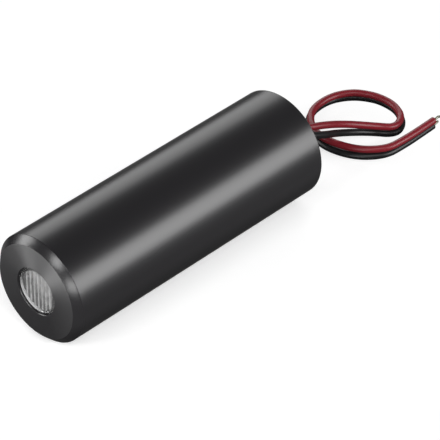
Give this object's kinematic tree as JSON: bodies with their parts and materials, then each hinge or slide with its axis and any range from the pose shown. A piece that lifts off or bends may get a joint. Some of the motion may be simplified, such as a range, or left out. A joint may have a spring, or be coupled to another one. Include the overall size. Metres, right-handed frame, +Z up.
{
  "type": "laser diode module",
  "caption": "Cylindrical line-projecting laser diode module: turned black barrel, ribbed line lens in its front aperture, driver inside and flying leads from the back.",
  "frame": {"origin": "on the optical axis, at the middle of the barrel's length", "axes": "+X along the optical axis, out of the aperture; +Z up, with the barrel lying on its side on a table one barrel radius below the origin"},
  "size_m": [0.0936, 0.0219, 0.02],
  "materials": {
    "anodised_aluminium": "black anodised, satin",
    "lens_acrylic": "moulded, polished ribs",
    "turned_brass": "turned, bright",
    "collimator_glass": "moulded, polished",
    "spring_steel": "drawn wire",
    "gold_plated_steel": "gold plated",
    "nickel_plated_steel": "nickel plated",
    "sealing_glass": "fused",
    "window_glass": "polished",
    "submount_ceramic": "lapped",
    "semiconductor": "polished die",
    "glass_epoxy_board": "green solder mask",
    "moulded_epoxy": "moulded, matt",
    "tantalum_epoxy": "moulded, yellow",
    "capacitor_ceramic": "sintered",
    "resistor_ceramic": "glazed film on ceramic",
    "solder": "soldered, bright",
    "tinned_copper": "tinned strands",
    "grommet_rubber": "moulded, matt",
    "red_insulation": "extruded vinyl, soft gloss",
    "black_insulation": "extruded vinyl, soft gloss"
  },
  "bodies": {
    "root": {"housing": "anodised_aluminium", "line_lens": "lens_acrylic", "optics_block": "turned_brass", "lens_cell": "turned_brass", "collimating_lens": "collimator_glass", "lens_retaining_ring": "turned_brass", "focus_spring": "spring_steel", "diode_header": "gold_plated_steel", "pin_seals": "sealing_glass", "diode_pins": "gold_plated_steel", "diode_can": "nickel_plated_steel", "diode_window": "window_glass", "chip_submount": "submount_ceramic", "laser_chip": "semiconductor", "monitor_photodiode": "semiconductor", "diode_clamp_ring": "turned_brass", "driver_board": "glass_epoxy_board", "driver_chip": "moulded_epoxy", "pass_transistor": "moulded_epoxy", "tantalum_capacitor": "tantalum_epoxy", "ceramic_capacitors": "capacitor_ceramic", "resistors": "resistor_ceramic", "protection_diode": "moulded_epoxy", "pin_solder_joints": "solder", "lead_solder_joints": "solder", "rear_cap": "anodised_aluminium", "lead_grommet": "grommet_rubber", "red_lead": "red_insulation", "black_lead": "black_insulation", "red_solder_tail": "tinned_copper", "black_solder_tail": "tinned_copper", "red_lead_tip": "tinned_copper", "black_lead_tip": "tinned_copper"}
  },
  "joints": []
}
